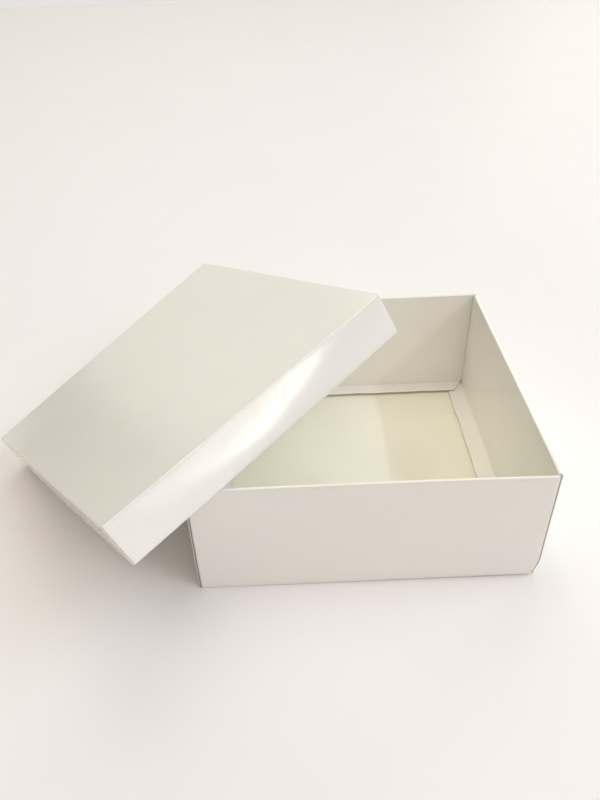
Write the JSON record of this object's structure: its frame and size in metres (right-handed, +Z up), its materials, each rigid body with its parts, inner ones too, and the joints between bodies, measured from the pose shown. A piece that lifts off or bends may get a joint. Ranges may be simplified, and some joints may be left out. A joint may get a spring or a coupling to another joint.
{
  "type": "lidded gift box",
  "caption": "Square white coated-card gift box: base with rolled double walls and floor flanges, and a shallow lift-off lid, taken off and leaning on the base.",
  "frame": {"origin": "middle of the base's underside, on the surface it stands on", "axes": "+Z up, -Y towards the front wall, +X towards the base's right wall, away from the leaning lid"},
  "size_m": [0.3495, 0.2893, 0.1424],
  "materials": {
    "outer_card": "gloss coated white card, printed side",
    "inner_card": "coated white card with a creamier cast, inner side and cut edges"
  },
  "bodies": {
    "base": {"base_floor_panel": "outer_card", "base_front_outer_wall": "outer_card", "base_back_outer_wall": "outer_card", "base_left_outer_wall": "outer_card", "base_right_outer_wall": "outer_card", "base_front_rim_strip": "outer_card", "base_back_rim_strip": "outer_card", "base_left_rim_strip": "outer_card", "base_right_rim_strip": "outer_card", "base_left_inner_wall": "inner_card", "base_right_inner_wall": "inner_card", "base_left_flange": "inner_card", "base_right_flange": "inner_card", "base_front_left_corner_tab": "inner_card", "base_front_right_corner_tab": "inner_card", "base_back_left_corner_tab": "inner_card", "base_back_right_corner_tab": "inner_card"},
    "base_front_liner": {"base_front_inner_wall": "inner_card", "base_front_flange": "inner_card"},
    "base_back_liner": {"base_back_inner_wall": "inner_card", "base_back_flange": "inner_card"},
    "lid": {"lid_top_panel": "outer_card", "lid_front_outer_skirt": "outer_card", "lid_back_outer_skirt": "outer_card", "lid_left_outer_skirt": "outer_card", "lid_right_outer_skirt": "outer_card", "lid_front_rim_strip": "outer_card", "lid_back_rim_strip": "outer_card", "lid_left_rim_strip": "outer_card", "lid_right_rim_strip": "outer_card", "lid_front_inner_skirt": "inner_card", "lid_back_inner_skirt": "inner_card", "lid_left_inner_skirt": "inner_card", "lid_right_inner_skirt": "inner_card", "lid_front_flange": "inner_card", "lid_back_flange": "inner_card", "lid_left_flange": "inner_card", "lid_right_flange": "inner_card", "lid_front_left_corner_tab": "inner_card", "lid_front_right_corner_tab": "inner_card", "lid_back_left_corner_tab": "inner_card", "lid_back_right_corner_tab": "inner_card"}
  },
  "joints": [
    {"name": "lid_lift", "type": "slide", "parent": "base", "child": "lid", "axis": [0, 0, 1], "range_m": [0, 0.12]},
    {"name": "front_liner_fold", "type": "hinge", "parent": "base", "child": "base_front_liner", "pos_m": [0, -0.098, 0.08], "axis": [1, 0, 0], "range_deg": [0, 75]},
    {"name": "back_liner_fold", "type": "hinge", "parent": "base", "child": "base_back_liner", "pos_m": [0, 0.098, 0.08], "axis": [-1, 0, 0], "range_deg": [0, 75]}
  ]
}
